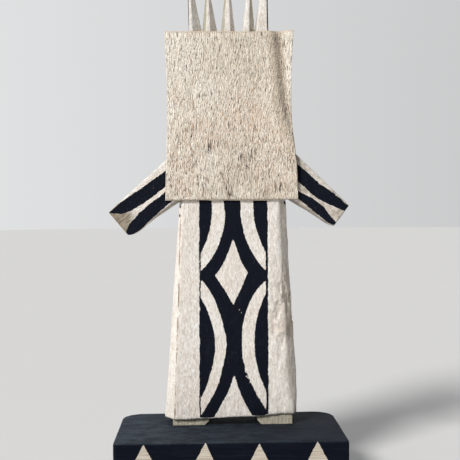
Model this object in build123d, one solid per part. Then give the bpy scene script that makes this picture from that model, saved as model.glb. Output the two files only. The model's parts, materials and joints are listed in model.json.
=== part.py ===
from build123d import *
import math
import os

# Carved and painted wooden fertility doll on a painted base.
# Millimetres. The origin is the centre of the base's underside, and +Z is up.
# The -Y side carries the hide and the painted triangles of the base; +X is to its right.

# ---- base: a block of dressed two-inch stock ----
BASE_WIDTH = 152.4
BASE_DEPTH = 78.6
BASE_HEIGHT = 38.0
BASE_FAR_RADIUS = 14.0
BASE_NEAR_LEFT_RADIUS = 3.0
BASE_NEAR_RIGHT_RADIUS = 0.8
BASE_TOP_ROUND = 0.8

# ---- figure: all wooden parts of the figure share one flat near face ----
FIGURE_X = 2.7
NEAR_Y = 2.0

# ---- robe: outline at three heights (height, left, right, far face) ----
ROBE_LEVELS = (
    (42.0, -45.4, 47.2, 35.0),
    (75.0, -42.4, 47.0, 34.2),
    (243.0, -29.6, 37.4, 31.0),
)
ROBE_TOP = ROBE_LEVELS[-1][0]
ROBE_LEFT_BEVEL = (7.4, 5.6, 0.5)
ROBE_RIGHT_BEVEL = (2.6, 6.4, 5.2)
ROBE_FAR_BEVEL = (6.0, 5.0, 3.5)
HEM_LEFT_Z = 42.4
HEM_RIGHT_Z = 45.2

# ---- legs: two sawn blocks between the base and the hem ----
LEG_NEAR_Y = 4.2
LEG_DEPTH = 26.0
LEG_LEFT_X = (-39.2, -14.0)
LEG_RIGHT_X = (19.4, 44.0)
LEG_INNER_CHAMFER = 3.0

# ---- leg screws ----
SCREW_X = (-26.6, 31.7)
SCREW_Y = 17.0
SCREW_RADIUS = 2.1
SCREW_HEAD_RADIUS = 4.2
SCREW_HEAD_HEIGHT = 2.4
SCREW_HEAD_Z = 2.0
SCREW_TOP_Z = 76.0

# ---- arms: flat slats, each a round root and a straight taper to a square hand ----
ARM_THICKNESS = 9.0
ARM_NEAR_Y = NEAR_Y + 0.5
ARM_LEFT_PIVOT = (-23.0, 218.4)
ARM_LEFT_ROOT_RADIUS = 15.6
ARM_LEFT_HAND = ((-82.1, 186.3), (-68.9, 170.7))
ARM_RIGHT_PIVOT = (28.4, 221.4)
ARM_RIGHT_ROOT_RADIUS = 16.2
ARM_RIGHT_HAND = ((84.0, 189.9), (73.3, 175.9))
ARM_RAISE = 38.0
ARM_GAP = 0.5

# ---- arm pins: flat-headed nails, a running fit in the arm, driven into the robe ----
PIN_RADIUS = 1.6
PIN_RUNNING_GAP = 0.05
PIN_HEAD_RADIUS = 3.5
PIN_HEAD_HEIGHT = 1.2
PIN_HEAD_GAP = 0.3
PIN_LENGTH = 22.0

# ---- head with its crown of five teeth ----
HEAD_LEFT = -25.9
HEAD_RIGHT = 29.7
HEAD_DEPTH = 28.0
CROWN_ROOT_Z = 286.0
NECK_HEIGHT = 7.0
NECK_SIDE_CUT = 9.0
NECK_FAR_CUT = 5.0
NOSE_WIDTH = 8.0
NOSE_TOP_Z = 284.0
NOSE_TIP_Z = 264.0
NOSE_REACH = 4.5
TOOTH_BEVEL_Y = 9.0
TOOTH_TIP_Y = (11.0, 15.0)
# left, right, near face's left and right at the root, tip's left and right, tip height
TEETH = (
    (-25.9, -11.4, -25.7, -22.0, -26.8, -25.2, 350.0),
    (-19.4, -1.6, -15.5, -10.5, -13.7, -12.1, 343.0),
    (-7.0, 8.6, -3.5, 3.5, 0.4, 2.0, 349.0),
    (8.1, 21.7, 8.6, 14.9, 15.5, 17.1, 346.0),
    (16.4, 29.7, 17.0, 28.4, 25.8, 28.7, 352.0),
)

# ---- neck dowel ----
DOWEL_RADIUS = 6.35
DOWEL_Y = 18.5
DOWEL_DEPTH = 22.0

# ---- hide: a trimmed rectangle of hair-on hide ----
HIDE_LEFT = -43.0
HIDE_RIGHT = 48.4
HIDE_BOTTOM = 194.0
HIDE_TOP = 309.4
HIDE_THICKNESS = 2.6


def block(x, y, z):
    """Box from its limits along X, Y and Z."""
    size = Box(x[1] - x[0], y[1] - y[0], z[1] - z[0])
    return Pos((x[0] + x[1]) / 2, (y[0] + y[1]) / 2, (z[0] + z[1]) / 2) * size


def rod_up(radius, x, y, z_low, z_high):
    """Upright round rod."""
    rod = Cylinder(radius, z_high - z_low)
    return Pos(x, y, (z_low + z_high) / 2) * rod


def rod_across(radius, x, z, y_near, y_far):
    """Round rod along Y."""
    rod = Rot(90, 0, 0) * Cylinder(radius, y_far - y_near)
    return Pos(x, (y_near + y_far) / 2, z) * rod


def level_face(points, z):
    """Horizontal polygon at height z."""
    corners = [(x, y, z) for x, y in points]
    return make_face(Polyline(*corners, close=True))


def plate(points, y_near, y_far):
    """Plate whose outline is given in X and Z."""
    corners = [(x, y_near, z) for x, z in points]
    face = make_face(Polyline(*corners, close=True))
    return extrude(face, amount=y_far - y_near, dir=(0, 1, 0))


def hem_cutter():
    """Everything under the slightly slanted hem."""
    x_low, x_high = -60.0, 60.0
    left, right = ROBE_LEVELS[0][1], ROBE_LEVELS[0][2]
    slope = (HEM_RIGHT_Z - HEM_LEFT_Z) / (right - left)
    z_low = HEM_LEFT_Z + slope * (x_low - left)
    z_high = HEM_LEFT_Z + slope * (x_high - left)
    outline = [(x_low, z_low), (x_high, z_high), (x_high, 20.0), (x_low, 20.0)]
    return plate(outline, -20.0, 60.0)


def screw_shape(x):
    """Countersunk wood screw, without its thread."""
    shank = rod_up(SCREW_RADIUS, x, SCREW_Y, SCREW_HEAD_Z, SCREW_TOP_Z)
    cone = Cone(SCREW_HEAD_RADIUS, SCREW_RADIUS, SCREW_HEAD_HEIGHT)
    return shank + Pos(x, SCREW_Y, SCREW_HEAD_Z + SCREW_HEAD_HEIGHT / 2) * cone


def screw_hole(x):
    """The screw's own space, open down to the base's underside."""
    mouth = rod_up(SCREW_HEAD_RADIUS, x, SCREW_Y, -1.0, SCREW_HEAD_Z)
    return screw_shape(x) + mouth


def arm_outline(pivot, radius, hand, gap=0.0, reach=0.0):
    """Tangent points on the root's circle and the two hand corners, grown by gap and reach."""
    px, pz = pivot
    side = 1.0 if hand[0][0] > px else -1.0
    points = []
    for (hx, hz), sense in zip(hand, (side, -side)):
        away = math.hypot(hx - px, hz - pz)
        toward = math.atan2(hz - pz, hx - px)
        turn = math.acos(radius / away)
        touch = toward + sense * turn
        tx = px + (radius + gap) * math.cos(touch)
        tz = pz + (radius + gap) * math.sin(touch)
        run = math.sqrt(away**2 - radius**2)
        ux = (hx + gap * math.cos(touch) - tx) / run
        uz = (hz + gap * math.sin(touch) - tz) / run
        points.append((tx, tz, tx + ux * (run + reach), tz + uz * (run + reach)))
    upper, lower = points
    return [upper[:2], upper[2:], lower[2:], lower[:2]]


def turned(points, pivot, degrees_up, side):
    """Points turned about the pivot, up for a positive angle on either side."""
    angle = math.radians(degrees_up) * side
    c, s = math.cos(angle), math.sin(angle)
    px, pz = pivot
    return [(px + c * (x - px) - s * (z - pz), pz + s * (x - px) + c * (z - pz)) for x, z in points]


def arm_space(pivot, radius, hand):
    """The recess for an arm's root: everything the arm sweeps, from rest to fully raised."""
    side = 1.0 if hand[0][0] > pivot[0] else -1.0
    y_near, y_far = NEAR_Y - 5.0, ARM_NEAR_Y + ARM_THICKNESS + ARM_GAP
    space = rod_across(radius + ARM_GAP, *pivot, y_near, y_far)
    outline = arm_outline(pivot, radius, hand, gap=ARM_GAP, reach=20.0)
    raised = turned(outline, pivot, ARM_RAISE, side)
    space += plate(outline, y_near, y_far)
    space += plate(raised, y_near, y_far)
    wedge = [pivot, outline[2], outline[1], raised[2], raised[1]]
    return space + plate(wedge, y_near, y_far)


def upright_edges(body, at=None, far_from=None):
    """The upright edges at a corner (x, y), or all those that aren't in the plane y = far_from."""
    edges = body.edges().filter_by(Axis.Z)
    if at is None:
        return [e for e in edges if abs(e.center().Y - far_from) > 1]
    return [e for e in edges if math.dist((e.center().X, e.center().Y), at) < 0.01]


def base_block():
    half_width, half_depth = BASE_WIDTH / 2, BASE_DEPTH / 2
    body = block((-half_width, half_width), (-half_depth, half_depth), (0, BASE_HEIGHT))
    body = fillet(upright_edges(body, far_from=-half_depth), BASE_FAR_RADIUS)
    body = fillet(upright_edges(body, at=(-half_width, -half_depth)), BASE_NEAR_LEFT_RADIUS)
    body = fillet(upright_edges(body, at=(half_width, -half_depth)), BASE_NEAR_RIGHT_RADIUS)
    body = fillet(body.faces().sort_by(Axis.Z)[-1].edges(), BASE_TOP_ROUND)
    for x in SCREW_X:
        body -= screw_hole(x)
    return body


def leg(x_limits, inner):
    """Sawn block whose top follows the hem, with its lower inner corner cut away."""
    body = block(x_limits, (LEG_NEAR_Y, LEG_NEAR_Y + LEG_DEPTH), (BASE_HEIGHT, BASE_HEIGHT + 12))
    body &= hem_cutter()
    x_inner = x_limits[1] if inner > 0 else x_limits[0]
    z = BASE_HEIGHT
    corner = [(x_inner, z), (x_inner, z + LEG_INNER_CHAMFER), (x_inner - inner * LEG_INNER_CHAMFER, z)]
    body -= plate(corner, LEG_NEAR_Y, LEG_NEAR_Y + LEG_DEPTH)
    x_screw = min(SCREW_X, key=lambda x: abs(x - x_inner))
    return body - screw_shape(x_screw)


def robe():
    sections = []
    for level, left_bevel, right_bevel, far_bevel in zip(
        ROBE_LEVELS, ROBE_LEFT_BEVEL, ROBE_RIGHT_BEVEL, ROBE_FAR_BEVEL
    ):
        z, left, right, far = level
        outline = [
            (left + left_bevel, NEAR_Y),
            (right - right_bevel, NEAR_Y),
            (right, NEAR_Y + right_bevel),
            (right, far - far_bevel),
            (right - far_bevel, far),
            (left + far_bevel, far),
            (left, far - far_bevel),
            (left, NEAR_Y + 1.4 * left_bevel),
        ]
        sections.append(level_face(outline, z))
    body = loft(sections, ruled=True)
    body -= hem_cutter()
    body -= arm_space(ARM_LEFT_PIVOT, ARM_LEFT_ROOT_RADIUS, ARM_LEFT_HAND)
    body -= arm_space(ARM_RIGHT_PIVOT, ARM_RIGHT_ROOT_RADIUS, ARM_RIGHT_HAND)
    for pivot in (ARM_LEFT_PIVOT, ARM_RIGHT_PIVOT):
        body -= arm_pin(pivot)
    for x in SCREW_X:
        body -= screw_shape(x)
    return body - neck_dowel()


def neck_dowel():
    return rod_up(DOWEL_RADIUS, FIGURE_X, DOWEL_Y, ROBE_TOP - DOWEL_DEPTH, ROBE_TOP + DOWEL_DEPTH)


def tooth(left, right, near_left, near_right, tip_left, tip_right, tip_z):
    """One tapered tooth: a narrow near face with a bevel on each side."""
    far = NEAR_Y + HEAD_DEPTH
    root = [
        (near_left, NEAR_Y),
        (near_right, NEAR_Y),
        (right, NEAR_Y + TOOTH_BEVEL_Y),
        (right, far),
        (left, far),
        (left, NEAR_Y + TOOTH_BEVEL_Y),
    ]
    y_near, y_far = TOOTH_TIP_Y
    y_middle = (y_near + y_far) / 2
    middle = (tip_left + tip_right) / 2
    narrow = (tip_right - tip_left) / 4
    tip = [
        (middle - narrow, y_near),
        (middle + narrow, y_near),
        (tip_right, y_middle),
        (tip_right, y_far),
        (tip_left, y_far),
        (tip_left, y_middle),
    ]
    return loft([level_face(root, CROWN_ROOT_Z), level_face(tip, tip_z)], ruled=True)


def nose():
    """Plain wedge nose on the far face."""
    far = NEAR_Y + HEAD_DEPTH
    side = [(far - 1, NOSE_TOP_Z), (far + NOSE_REACH, NOSE_TIP_Z), (far - 1, NOSE_TIP_Z)]
    corners = [(FIGURE_X - NOSE_WIDTH / 2, y, z) for y, z in side]
    return extrude(make_face(Polyline(*corners, close=True)), amount=NOSE_WIDTH, dir=(1, 0, 0))


def head():
    far = NEAR_Y + HEAD_DEPTH
    body = block((HEAD_LEFT, HEAD_RIGHT), (NEAR_Y, far), (ROBE_TOP, CROWN_ROOT_Z))
    neck_z = (ROBE_TOP, ROBE_TOP + NECK_HEIGHT)
    body -= block((HEAD_LEFT, HEAD_LEFT + NECK_SIDE_CUT), (NEAR_Y, far), neck_z)
    body -= block((HEAD_RIGHT - NECK_SIDE_CUT, HEAD_RIGHT), (NEAR_Y, far), neck_z)
    body -= block((HEAD_LEFT, HEAD_RIGHT), (far - NECK_FAR_CUT, far), neck_z)
    for shape in TEETH:
        body += tooth(*shape)
    return body + nose() - neck_dowel()


def arm(pivot, radius, hand):
    near, far = ARM_NEAR_Y, ARM_NEAR_Y + ARM_THICKNESS
    body = plate(arm_outline(pivot, radius, hand), near, far)
    body += rod_across(radius, *pivot, near, far)
    bore = rod_across(PIN_RADIUS + PIN_RUNNING_GAP, *pivot, near - 1, far + 1)
    seat_depth = PIN_HEAD_HEIGHT + PIN_HEAD_GAP
    seat = rod_across(PIN_HEAD_RADIUS + PIN_HEAD_GAP, *pivot, near - 1, near + seat_depth)
    return body - bore - seat


def arm_pin(pivot):
    shank = rod_across(PIN_RADIUS, *pivot, ARM_NEAR_Y, ARM_NEAR_Y + PIN_LENGTH)
    return shank + rod_across(PIN_HEAD_RADIUS, *pivot, ARM_NEAR_Y, ARM_NEAR_Y + PIN_HEAD_HEIGHT)


def hide():
    return block(
        (HIDE_LEFT, HIDE_RIGHT), (NEAR_Y - HIDE_THICKNESS, NEAR_Y), (HIDE_BOTTOM, HIDE_TOP)
    )


nodes = {
    "base_block": base_block(),
    "leg_left": leg(LEG_LEFT_X, 1),
    "leg_right": leg(LEG_RIGHT_X, -1),
    "leg_screws": Compound([screw_shape(x) for x in SCREW_X]),
    "robe": robe(),
    "neck_dowel": neck_dowel(),
    "head": head(),
    "arm_left": arm(ARM_LEFT_PIVOT, ARM_LEFT_ROOT_RADIUS, ARM_LEFT_HAND),
    "arm_right": arm(ARM_RIGHT_PIVOT, ARM_RIGHT_ROOT_RADIUS, ARM_RIGHT_HAND),
    "arm_pin_left": arm_pin(ARM_LEFT_PIVOT),
    "arm_pin_right": arm_pin(ARM_RIGHT_PIVOT),
    "hide_panel": hide(),
}

os.makedirs("parts", exist_ok=True)
for name, shape in nodes.items():
    export_step(shape, f"parts/{name}.step")
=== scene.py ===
import json
import math

import bmesh
import bpy
import numpy as np
from mathutils import Matrix, Vector


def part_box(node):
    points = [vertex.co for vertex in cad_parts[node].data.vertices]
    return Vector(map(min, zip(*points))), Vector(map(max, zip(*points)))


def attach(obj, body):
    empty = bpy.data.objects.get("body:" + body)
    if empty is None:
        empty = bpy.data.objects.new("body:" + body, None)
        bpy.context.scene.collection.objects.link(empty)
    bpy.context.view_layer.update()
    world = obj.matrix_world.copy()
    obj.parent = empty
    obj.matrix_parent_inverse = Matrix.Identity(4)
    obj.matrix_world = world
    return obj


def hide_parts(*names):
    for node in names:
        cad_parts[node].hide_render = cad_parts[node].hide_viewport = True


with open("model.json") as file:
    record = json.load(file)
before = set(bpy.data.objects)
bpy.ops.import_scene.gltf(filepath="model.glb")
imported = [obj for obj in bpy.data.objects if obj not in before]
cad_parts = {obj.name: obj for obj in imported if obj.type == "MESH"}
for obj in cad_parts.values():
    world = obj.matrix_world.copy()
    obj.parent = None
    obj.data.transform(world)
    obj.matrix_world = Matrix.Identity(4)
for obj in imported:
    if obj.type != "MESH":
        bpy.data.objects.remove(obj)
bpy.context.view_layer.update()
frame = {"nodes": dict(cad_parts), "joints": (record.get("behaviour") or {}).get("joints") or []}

# Lengths in this script are millimetres until they go into a mesh, an object or a shader.
MM = 0.001

# How far the arms hang below the horizontal at rest.
ARM_REST = math.radians(37.3)

# Whitewash, and its lighter and dirtier tones.
WHITEWASH = (0.85, 0.81, 0.755)
CHALKY = (0.98, 0.965, 0.94)
PALE = (0.92, 0.89, 0.85)
STREAKED = (0.88, 0.85, 0.81)
YELLOWED = (0.80, 0.69, 0.61)
GREYED = (0.72, 0.665, 0.595)
DUSTY = (0.62, 0.56, 0.49)
GRITTY = (0.59, 0.51, 0.43)
FIBROUS = (0.48, 0.41, 0.34)
STAINED = (0.25, 0.165, 0.095)
DARK_GRAIN = (0.24, 0.165, 0.10)

# Kinds of bare wood: its tone, its grain and its lighter fibres.
ROBE_WOOD = ((0.43, 0.34, 0.235), DARK_GRAIN, (0.56, 0.49, 0.39))
KHAKI_WOOD = ((0.47, 0.44, 0.34), (0.31, 0.28, 0.20), (0.58, 0.55, 0.46))
HAND_WOOD = ((0.34, 0.29, 0.215), (0.135, 0.105, 0.072), (0.50, 0.445, 0.36))

# Blue-black paint, the same where it is thin, and its scratches.
BLACK_PAINT = (0.0042, 0.0060, 0.0122)
WORN_PAINT = (0.013, 0.017, 0.028)
SCRATCHED_PAINT = (0.075, 0.095, 0.125)

# A paint distance for places well outside the paint.
UNPAINTED = -5.0


# ------------ noise and curves


def lattice(x, y, z, seed):
    """A fixed random number from -1 to 1 for every whole-number point."""
    mixed = (x * 374761393 + y * 668265263 + z * 974634777 + seed * 362437) & 0x7FFFFFFF
    mixed = ((mixed ^ (mixed >> 13)) * 1274126177) & 0x7FFFFFFF
    mixed = ((mixed ^ (mixed >> 15)) * 846413911) & 0x7FFFFFFF
    return (mixed & 0xFFFF) / 32767.5 - 1


def noise(points, size, seed=0):
    """Smooth noise from -1 to 1 at points; size is the width of its lumps along X, Y and Z."""
    scaled = points / np.broadcast_to(np.asarray(size, float), 3)
    cell = np.floor(scaled).astype(np.int64)
    share = scaled - cell
    share = share * share * (3 - 2 * share)
    total = np.zeros(len(points))
    for corner in range(8):
        step = np.array([corner & 1, corner >> 1 & 1, corner >> 2])
        weight = np.prod(np.where(step == 1, share, 1 - share), axis=1)
        total += weight * lattice(*(cell + step).T, seed)
    return total


def layered(points, size, seed=0, layers=3):
    """Noise with finer and weaker layers added."""
    size = np.broadcast_to(np.asarray(size, float), 3)
    parts = [noise(points, size / 2**k, seed + k) / 2**k for k in range(layers)]
    return sum(parts)


def smoothstep(low, high, value):
    t = np.clip((value - low) / (high - low), 0, 1)
    return t * t * (3 - 2 * t)


def curve(knots):
    """A smooth function through (position, value) knots, and its slope."""
    at, value = np.array(sorted(knots), float).T
    slope = np.gradient(value, at)

    def smooth(x):
        x = np.clip(x, at[0], at[-1])
        k = np.clip(np.searchsorted(at, x) - 1, 0, len(at) - 2)
        width = at[k + 1] - at[k]
        t = (x - at[k]) / width
        rise = value[k + 1] - value[k]
        a = slope[k] * width - rise
        b = rise - slope[k + 1] * width
        return value[k] + t * rise + t * (1 - t) * (a * (1 - t) + b * t)

    return smooth


def side_of(knots, along, across):
    """Signed distance from a curve of across against along, positive on the greater side."""
    line = curve(knots)
    tilt = line(along + 0.5) - line(along - 0.5)
    return (across - line(along)) / np.hypot(1, tilt)


# ------------ meshes


def new_object(name, mesh, material, body="figure"):
    piece = bpy.data.objects.new(name, mesh)
    bpy.context.scene.collection.objects.link(piece)
    mesh.materials.clear()
    mesh.materials.append(material)
    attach(piece, body)
    return piece


def per_vertex(mesh, name):
    flat = np.zeros(len(mesh.vertices) * 3)
    mesh.vertices.foreach_get(name, flat)
    return flat.reshape(-1, 3)


def points_of(mesh):
    return per_vertex(mesh, "co") / MM


def normals_of(mesh):
    return per_vertex(mesh, "normal")


def put_points(mesh, points):
    mesh.vertices.foreach_set("co", (points * MM).ravel())
    mesh.update()


def put_values(mesh, name, values):
    attribute = mesh.attributes.new(name, "FLOAT", "POINT")
    attribute.data.foreach_set("value", np.asarray(values, np.float32))


def smoothed(mesh, points, rounds, share=0.5):
    """Each point moved towards the mean of its neighbours, a number of times."""
    flat = np.zeros(len(mesh.edges) * 2, np.int32)
    mesh.edges.foreach_get("vertices", flat)
    a, b = flat.reshape(-1, 2).T
    count = np.bincount(a, minlength=len(points)) + np.bincount(b, minlength=len(points))
    share = np.broadcast_to(share, len(points))[:, None]
    for _ in range(rounds):
        mean = np.empty_like(points)
        for k in range(3):
            total = np.bincount(a, points[b, k], len(points))
            total += np.bincount(b, points[a, k], len(points))
            mean[:, k] = total / count
        points = points + share * (mean - points)
    return points


def carved(node, depth, scale=0.95):
    """A finely divided copy of a CAD node with its edges kept sharp."""
    mesh = frame["nodes"][node].data.copy()
    shape = bmesh.new()
    shape.from_mesh(mesh)
    bmesh.ops.remove_doubles(shape, verts=shape.verts, dist=1e-6)
    shape.to_mesh(mesh)
    shape.free()
    coarse = bpy.data.objects.new("coarse", mesh)
    bpy.context.scene.collection.objects.link(coarse)
    remesh = coarse.modifiers.new("Remesh", "REMESH")
    remesh.mode = "SHARP"
    remesh.octree_depth = depth
    remesh.scale = scale
    remesh.use_smooth_shade = True
    graph = bpy.context.evaluated_depsgraph_get()
    fine = bpy.data.meshes.new_from_object(coarse.evaluated_get(graph), depsgraph=graph)
    bpy.data.objects.remove(coarse)
    fine.name = node
    fine.shade_smooth()
    return fine


# ------------ shader building


class Nodes:
    """A node tree, with short calls that materials and the world share."""

    def __init__(self, tree):
        self.tree = tree

    def put(self, socket, value):
        if isinstance(value, bpy.types.NodeSocket):
            self.tree.links.new(value, socket)
        elif isinstance(value, tuple) and socket.type == "RGBA":
            socket.default_value = (*value, 1)
        else:
            socket.default_value = value

    def maths(self, operation, a, b=0.0, c=0.0, clamp=False):
        node = self.tree.nodes.new("ShaderNodeMath")
        node.operation = operation
        node.use_clamp = clamp
        for socket, value in zip(node.inputs, (a, b, c)):
            self.put(socket, value)
        return node.outputs[0]


class Shader(Nodes):
    """A material's node tree, with short calls for the nodes that the finishes share."""

    def __init__(self, name):
        self.material = bpy.data.materials.new(name)
        self.material.use_nodes = True
        super().__init__(self.material.node_tree)
        self.tree.nodes.clear()
        self.surface = self.tree.nodes.new("ShaderNodeBsdfPrincipled")
        output = self.tree.nodes.new("ShaderNodeOutputMaterial")
        self.tree.links.new(self.surface.outputs[0], output.inputs[0])
        self.place = self.tree.nodes.new("ShaderNodeTexCoord").outputs["Object"]

    def ramp(self, value, low, high, out_low=0.0, out_high=1.0):
        node = self.tree.nodes.new("ShaderNodeMapRange")
        node.interpolation_type = "SMOOTHSTEP"
        for socket, number in zip(node.inputs, (value, low, high, out_low, out_high)):
            self.put(socket, number)
        return node.outputs[0]

    def mix(self, share, a, b):
        node = self.tree.nodes.new("ShaderNodeMix")
        node.data_type = "RGBA"
        self.put(node.inputs[0], share)
        self.put(node.inputs[6], a)
        self.put(node.inputs[7], b)
        return node.outputs[2]

    def value(self, name):
        node = self.tree.nodes.new("ShaderNodeAttribute")
        node.attribute_name = name
        return node.outputs["Fac"]

    def stretched(self, size, turn=0.0):
        """Object coordinates in units of size (mm along X, Y, Z), turned about Y first."""
        place = self.place
        if turn:
            spin = self.tree.nodes.new("ShaderNodeVectorRotate")
            spin.rotation_type = "Y_AXIS"
            spin.inputs["Angle"].default_value = turn
            self.tree.links.new(place, spin.inputs["Vector"])
            place = spin.outputs[0]
        scale = self.tree.nodes.new("ShaderNodeVectorMath")
        scale.operation = "MULTIPLY"
        scale.inputs[1].default_value = [1 / (s * MM) for s in size]
        self.tree.links.new(place, scale.inputs[0])
        return scale.outputs[0]

    def noise(self, size, detail=3.0, roughness=0.5, distortion=0.0, turn=0.0):
        node = self.tree.nodes.new("ShaderNodeTexNoise")
        self.put(node.inputs["Vector"], self.stretched(size, turn))
        node.inputs["Scale"].default_value = 1.0
        node.inputs["Detail"].default_value = detail
        node.inputs["Roughness"].default_value = roughness
        node.inputs["Distortion"].default_value = distortion
        return node.outputs["Fac"]

    def bump(self, height, depth, before=None):
        """Bump whose full height is depth, in mm."""
        node = self.tree.nodes.new("ShaderNodeBump")
        node.inputs["Strength"].default_value = 1.0
        node.inputs["Distance"].default_value = depth * MM
        self.put(node.inputs["Height"], height)
        if before is not None:
            self.put(node.inputs["Normal"], before)
        return node.outputs[0]

    def finish(self, colour, roughness, normal=None, **plain):
        self.put(self.surface.inputs["Base Color"], colour)
        self.put(self.surface.inputs["Roughness"], roughness)
        if normal is not None:
            self.put(self.surface.inputs["Normal"], normal)
        for name, number in plain.items():
            self.surface.inputs[name.replace("_", " ")].default_value = number
        return self.material


def wood_patterns(s, turn):
    """The noises that the painted wood's colours and relief share, long along the grain."""
    return {
        "streaks": s.noise((0.7, 0.7, 15), 4, 0.6, 0.3, turn),
        "fibres": s.noise((0.34, 0.34, 2.2), 4, 0.68, 0.2, turn),
        "blotch": s.noise((1.5, 1.5, 3.6), 4, 0.66, 0.4, turn),
        "mottle": s.noise((5.5, 5.5, 10), 4, 0.62, 0.5, turn),
        "clouds": s.noise((22, 22, 40), 3, 0.55, 0.6, turn),
        "grit": s.noise((1.1, 1.1, 2.8), 4, 0.68, 0.3, turn),
        "flecks": s.noise((0.55, 0.55, 1.5), 3, 0.7, 0.0, turn),
        "ragged": s.noise((0.7, 0.7, 1.9), 3, 0.62, 0.0, turn),
        "scratch": s.noise((0.35, 0.35, 3.0), 2, 0.5, 0.0, turn + 0.5),
    }


def whitewash(s, pattern):
    """Whitewash with its greyed, dusty and chalky places."""
    tone = s.mix(s.ramp(pattern["mottle"], 0.42, 0.72), WHITEWASH, GREYED)
    tone = s.mix(s.ramp(pattern["blotch"], 0.50, 0.68, 0.0, 0.75), tone, DUSTY)
    tone = s.mix(s.ramp(pattern["blotch"], 0.46, 0.32, 0.0, 0.8), tone, PALE)
    tone = s.mix(s.ramp(pattern["clouds"], 0.45, 0.68, 0.0, 0.6), tone, YELLOWED)
    tone = s.mix(s.ramp(pattern["streaks"], 0.50, 0.72, 0.0, 0.55), tone, STREAKED)
    tone = s.mix(s.ramp(pattern["fibres"], 0.48, 0.30, 0.0, 0.65), tone, FIBROUS)
    tone = s.mix(s.ramp(pattern["grit"], 0.54, 0.70, 0.0, 0.70), tone, GRITTY)
    tone = s.mix(s.ramp(pattern["grit"], 0.48, 0.36, 0.0, 0.80), tone, CHALKY)
    return s.mix(s.ramp(pattern["flecks"], 0.68, 0.78, 0.0, 0.75), tone, DARK_GRAIN)


def show_bare(s, pattern, tone, kind):
    """Bare wood of a kind, in ragged fibres, where the bare value is high; that value also carries
    painted shade.
    """
    wood, grain, light = kind
    bare = s.mix(s.ramp(pattern["streaks"], 0.40, 0.60), grain, wood)
    bare = s.mix(s.ramp(pattern["fibres"], 0.46, 0.62, 0.0, 0.8), bare, light)
    loose = s.maths("MULTIPLY_ADD", pattern["fibres"], 1.1, -0.55)
    bare_and_shade = s.maths("ADD", s.value("bare_and_shade"), s.maths("MULTIPLY", s.value("bare_and_shade"), loose))
    return s.mix(s.maths("MULTIPLY", bare_and_shade, 1.0, clamp=True), tone, bare)


def show_stain(s, pattern, tone):
    """Brown stain where the worn value is high."""
    rubbed = s.maths("MULTIPLY_ADD", pattern["ragged"], 1.4, -0.7)
    worn = s.maths("MULTIPLY_ADD", s.value("worn"), 1.5, rubbed)
    return s.mix(s.ramp(worn, 0.30, 0.90, 0.0, 0.9), tone, STAINED)


def black_cover(s, pattern):
    """Where the black lies, from 0 to 1: a ragged edge at paint 0, and specks that it missed."""
    edge = s.maths("MULTIPLY_ADD", pattern["ragged"], 1.3, -0.65)
    edge = s.maths("ADD", edge, s.maths("MULTIPLY_ADD", pattern["fibres"], 0.5, -0.25))
    covered = s.ramp(s.maths("ADD", s.value("paint"), edge), -0.08, 0.14)
    specks = s.ramp(pattern["flecks"], 0.70, 0.75)
    missed = s.maths("MULTIPLY", specks, s.ramp(pattern["mottle"], 0.5, 0.6))
    return s.maths("SUBTRACT", covered, s.maths("MULTIPLY", missed, 0.75), clamp=True)


def black_ink(s, pattern, scratched):
    """Black paint with thin places and scratches."""
    ink = s.mix(s.ramp(pattern["fibres"], 0.52, 0.74), BLACK_PAINT, WORN_PAINT)
    ink = s.mix(s.ramp(pattern["mottle"], 0.55, 0.75, 0.0, 0.5), ink, WORN_PAINT)
    return s.mix(s.ramp(pattern["scratch"], 0.66, 0.76, 0.0, scratched), ink, SCRATCHED_PAINT)


def painted_wood(name, turn=0.0, kind=ROBE_WOOD, scratched=0.15):
    """Whitewashed wood: black where paint is above 0, bare where the bare value is 1 (which also paints
    shade), stained where worn is 1.
    """
    s = Shader(name)
    pattern = wood_patterns(s, turn)
    tone = show_bare(s, pattern, whitewash(s, pattern), kind)
    tone = show_stain(s, pattern, tone)
    covered = black_cover(s, pattern)
    colour = s.mix(covered, tone, black_ink(s, pattern, scratched))
    relief = s.maths("MULTIPLY", pattern["blotch"], 0.55)
    relief = s.maths("MULTIPLY_ADD", pattern["fibres"], 0.45, relief)
    normal = s.bump(relief, 1.15)
    normal = s.bump(covered, 0.05, normal)
    rough = s.maths("MULTIPLY_ADD", covered, -0.12, 0.88)
    return s.finish(colour, rough, normal, Specular_IOR_Level=0.10)


# The base's paint: fresh, under dust and a painted sheen, scuffed, and at worn edges.
BASE_BLACK = (0.0032, 0.0046, 0.0095)
BASE_DUST_AND_SHEEN = (0.058, 0.078, 0.098)
BASE_SCUFF = (0.11, 0.125, 0.145)
BASE_EDGE = (0.07, 0.08, 0.095)
# The base's bare wood: its grain, its tone and its brown fibres.
PLANED_WOOD = ((0.40, 0.34, 0.27), (0.58, 0.525, 0.45), (0.45, 0.34, 0.24))


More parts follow.
